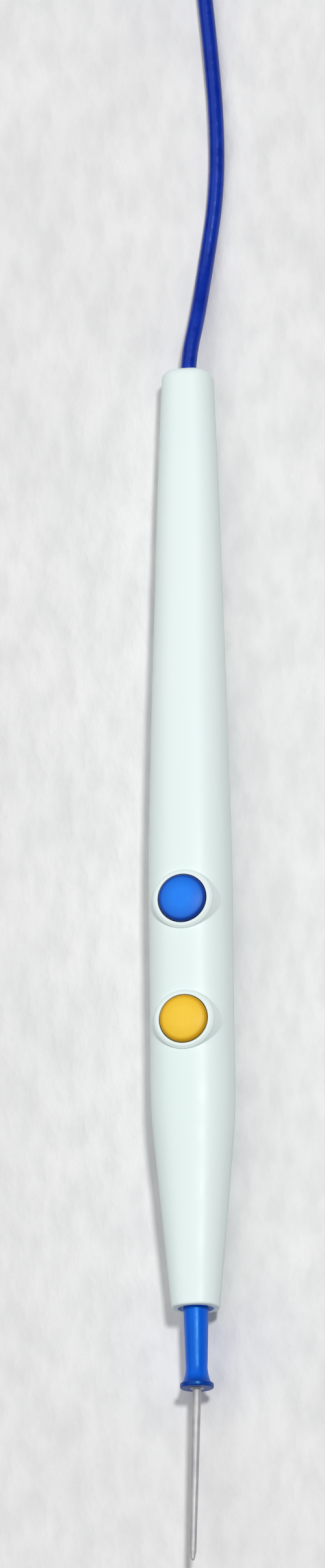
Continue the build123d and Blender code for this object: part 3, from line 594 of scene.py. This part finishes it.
def sleeve_plastic():
    finish, shader = new_finish("sleeve_plastic")
    shader.inputs["Specular IOR Level"].default_value = 0.5
    shader.inputs["Specular Tint"].default_value = (0.2, 0.75, 1.0, 1.0)
    flow = remap(finish, cloud(finish, 0.003, 3.0, (1.0, 0.3, 1.0)), 0.0, 1.0)
    colour = blend_colours(finish, flow, (0.001, 0.095, 0.66), (0.002, 0.12, 0.76))
    apart = finish.node_tree.nodes.new("ShaderNodeSeparateXYZ")
    finish.node_tree.links.new(place_in(finish), apart.inputs["Vector"])
    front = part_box("electrode_sleeve")[0].y
    # Painted shade: the front of the flange is coloured a deeper blue, for its face that turns away
    # from the lamps.
    flange_shade = remap(
        finish, apart.outputs["Y"], 1.0, 0.0, front + FLANGE_SHADE_FULL, front + FLANGE_SHADE_FADE
    )
    colour = blend_colours(finish, flange_shade, colour, (0.001, 0.035, 0.32))
    grain = relief(finish, cloud(finish, 0.0004, 3.0), 0.00001)
    rough = remap(finish, cloud(finish, 0.0015, 3.0), 0.30, 0.40)
    connect(finish, shader, Base_Color=colour, Roughness=rough, Normal=grain)
    return finish


def cord_jacket():
    finish, shader = new_finish("cord_jacket")
    shader.inputs["Specular IOR Level"].default_value = 0.6
    shader.inputs["Specular Tint"].default_value = (0.3, 0.5, 1.0, 1.0)
    flow = remap(finish, cloud(finish, 0.004, 3.0), 0.0, 1.0)
    colour = blend_colours(finish, flow, (0.001, 0.017, 0.29), (0.003, 0.028, 0.38))
    waves = relief(finish, cloud(finish, 0.0016, 1.0), 0.00006)
    grain = relief(finish, cloud(finish, 0.0003, 3.0), 0.00001, waves)
    rough = remap(finish, cloud(finish, 0.002, 3.0), 0.2, 0.34)
    connect(finish, shader, Base_Color=colour, Roughness=rough, Normal=grain)
    return finish


sleeve_finish = sleeve_plastic()
cord_finish = cord_jacket()
print("finishes", sleeve_finish.name, cord_finish.name)

# %% [markdown]
# ### Metals
# The needle is drawn wire, so its brushing runs along it. Brass parts are turned or stamped and
# a little tarnished. The plug pins are plated to a satin grey, over fine rings from the lathe. Each
# could have its own recipe, but they differ only in colour, in roughness and in the way the marks
# run, so one function serves all of them.


# %% Metals
BRUSH_DEPTH = 0.000006


def metal(name, light, dark, roughness, stretch):
    finish, shader = new_finish(name, 1.0)
    tarnish = remap(finish, cloud(finish, 0.003, 4.0), 0.0, 1.0)
    colour = blend_colours(finish, tarnish, light, dark)
    lines = cloud(finish, 0.0002, 4.0, stretch)
    rough = remap(finish, lines, roughness - 0.08, roughness + 0.10)
    brushed = relief(finish, lines, BRUSH_DEPTH)
    connect(finish, shader, Base_Color=colour, Roughness=rough, Normal=brushed)
    return finish


ALONG_Y = (1.0, 0.04, 1.0)
ROUND_Y = (0.08, 1.0, 0.08)
FLAT_ON_Z = (1.0, 0.3, 1.0)
needle_finish = metal("needle_steel", (0.66, 0.66, 0.67), (0.54, 0.54, 0.56), 0.68, ALONG_Y)
dome_finish = metal("dome_steel", (0.74, 0.73, 0.71), (0.62, 0.61, 0.59), 0.25, FLAT_ON_Z)
socket_finish = metal("socket_brass", (0.80, 0.60, 0.26), (0.62, 0.43, 0.17), 0.30, ROUND_Y)
strip_finish = metal("strip_brass", (0.82, 0.65, 0.32), (0.66, 0.48, 0.21), 0.32, FLAT_ON_Z)
pin_finish = metal("pin_plating", (0.80, 0.79, 0.75), (0.66, 0.64, 0.58), 0.46, ROUND_Y)
print("metals ready")

# %% [markdown]
# ### What is inside, and the softer plastics
# The board is green laminate with a faint glass weave. The three leads, the cord's anchor, the
# plug's boot and the tie are plain soft plastics. One shared material would be enough where nothing
# is seen, but anyone who opens the model looks inside, so each has its own colour, cloud and grain.


# %% Board, leads and soft plastics
def board_laminate():
    finish, shader = new_finish("board_laminate")
    tree = finish.node_tree
    weave = tree.nodes.new("ShaderNodeTexWave")
    weave.inputs["Scale"].default_value = 900.0
    weave.inputs["Distortion"].default_value = 2.0
    tree.links.new(place_in(finish), weave.inputs["Vector"])
    share = remap(finish, weave.outputs["Fac"], 0.0, 1.0, 0.0, 1.0)
    colour = blend_colours(finish, share, (0.02, 0.16, 0.07), (0.04, 0.24, 0.10))
    rough = remap(finish, cloud(finish, 0.004, 3.0), 0.35, 0.5)
    woven = relief(finish, share, 0.00001)
    connect(finish, shader, Base_Color=colour, Roughness=rough, Normal=woven)
    return finish


def soft_plastic(name, light, dark, roughness, grain_depth=0.00001):
    finish, shader = new_finish(name)
    share = remap(finish, cloud(finish, 0.003, 3.0), 0.0, 1.0)
    colour = blend_colours(finish, share, light, dark)
    rough = remap(finish, cloud(finish, 0.001, 3.0), roughness - 0.08, roughness + 0.08)
    grain = relief(finish, cloud(finish, 0.0003, 4.0), grain_depth)
    connect(finish, shader, Base_Color=colour, Roughness=rough, Normal=grain)
    return finish


board_finish = board_laminate()
lead_finishes = {
    "active_lead": soft_plastic("lead_red", (0.55, 0.03, 0.03), (0.42, 0.02, 0.02), 0.4),
    "cut_lead": soft_plastic("lead_yellow", (0.78, 0.56, 0.05), (0.66, 0.45, 0.03), 0.4),
    "coag_lead": soft_plastic("lead_blue", (0.03, 0.12, 0.55), (0.02, 0.08, 0.42), 0.4),
}
anchor_finish = soft_plastic("anchor_vinyl", (0.003, 0.028, 0.40), (0.002, 0.019, 0.31), 0.42)
tie_finish = soft_plastic("tie_coating", (0.84, 0.84, 0.82), (0.72, 0.72, 0.70), 0.5, 0.00003)
print("soft plastics ready")

# %% [markdown]
# ## Dressing the pieces
# A node of the frame keeps its mesh, and only its material slots change. One list from piece to
# finish says it all, and a missing piece would stand out in it.

# %% Give every piece its finish
finish_of = {
    "lower_shell": handle_finish,
    "upper_shell": handle_finish,
    "plug_upper_shell": handle_finish,
    "plug_lower_shell": handle_finish,
    "cut_button": cut_finish,
    "coag_button": coag_finish,
    "cut_dome": dome_finish,
    "coag_dome": dome_finish,
    "switch_board": board_finish,
    "electrode_sleeve": sleeve_finish,
    "electrode_needle": needle_finish,
    "electrode_socket": socket_finish,
    "contact_strip": strip_finish,
    "cord_grommet": anchor_finish,
    "plug_strain_relief": anchor_finish,
    "active_pin": pin_finish,
    "cut_pin": pin_finish,
    "coag_pin": pin_finish,
    **lead_finishes,
}
for name, finish in finish_of.items():
    nodes[name].data.materials.clear()
    nodes[name].data.materials.append(finish)
cord.data.materials.append(cord_finish)
for piece in tie_pieces:
    piece.data.materials.append(tie_finish)
print("dressed", len(finish_of), "nodes and", 1 + len(tie_pieces), "pieces")

# %% [markdown]
# ## Floor and light
# The pencil lies on a pale sheet with a nap. It could be a plain plane, but the photograph shows
# short soft fibres that lie aslant. A noise that is stretched and turned gives them, both as a
# darker tone and as a relief.
#
# A small lamp stands a little to the right, so that a narrow shadow lies along the handle's left
# side. A lamp wider than its distance fills from the left, and casts hardly any shadow of its own.
# Together with the world they light a level surface at about one, where a colour renders as it is
# written.

# %% Floor
FLOOR_HALF = 8.0
floor_mesh = bpy.data.meshes.new("floor")
floor_mesh.from_pydata(
    [(x * FLOOR_HALF, y * FLOOR_HALF, 0.0) for x, y in ((-1, -1), (1, -1), (1, 1), (-1, 1))],
    [],
    [(0, 1, 2, 3)],
)
floor = bpy.data.objects.new("floor", floor_mesh)
bpy.context.scene.collection.objects.link(floor)
FIBRE_TURN = math.radians(35)
floor_finish, floor_shader = new_finish("floor_felt")
floor_shader.inputs["Roughness"].default_value = 0.85
wide = remap(floor_finish, cloud(floor_finish, 0.02, 3.0), 0.0, 1.0)
pale = blend_colours(floor_finish, wide, (0.81, 0.81, 0.815), (0.87, 0.87, 0.865))
fibres = cloud(floor_finish, 0.0035, 4.0, (1.0, 0.45, 1.0), FIBRE_TURN)
share = remap(floor_finish, fibres, 0.35, 0.0, 0.35, 0.6)
felt = blend_colours(floor_finish, share, pale, (0.66, 0.66, 0.67))
nap = relief(floor_finish, fibres, 0.0006)
connect(floor_finish, floor_shader, Base_Color=felt, Normal=nap)
floor.data.materials.append(floor_finish)
print("floor", 2 * FLOOR_HALF, "m across")

# %% Lamps and world
MIDDLE = Vector((0.0, 0.02, 0.0))


def soft_lamp(name, direction, distance, size, share):
    """Square area lamp that faces the middle and gives a level surface a share of its light."""
    data = bpy.data.lights.new(name, "AREA")
    data.shape = "SQUARE"
    data.size = size
    data.energy = share * (math.pi * distance) ** 2 / Vector(direction).normalized().z
    lamp = bpy.data.objects.new(name, data)
    bpy.context.scene.collection.objects.link(lamp)
    way = Vector(direction).normalized()
    lamp.location = MIDDLE + way * distance
    lamp.rotation_mode = "QUATERNION"
    lamp.rotation_quaternion = way.to_track_quat("Z", "Y")
    return lamp


soft_lamp("key", (0.345, 0.11, 1.0), 2.4, 0.24, 0.50)
soft_lamp("fill", (-0.35, 0.10, 1.0), 2.8, 3.4, 0.48)
world = bpy.data.worlds.new("studio")
world.use_nodes = True
world.node_tree.nodes["Background"].inputs["Color"].default_value = (1.0, 1.0, 1.0, 1.0)
world.node_tree.nodes["Background"].inputs["Strength"].default_value = 0.14
bpy.context.scene.world = world
bpy.context.scene.view_settings.view_transform = "Standard"
print("lamps placed")

# %% [markdown]
# ## Last step
# The view layer is brought up to date. The visual model has to stay inside the frame's
# box.

# %% Bring the view layer up to date
bpy.context.view_layer.update()
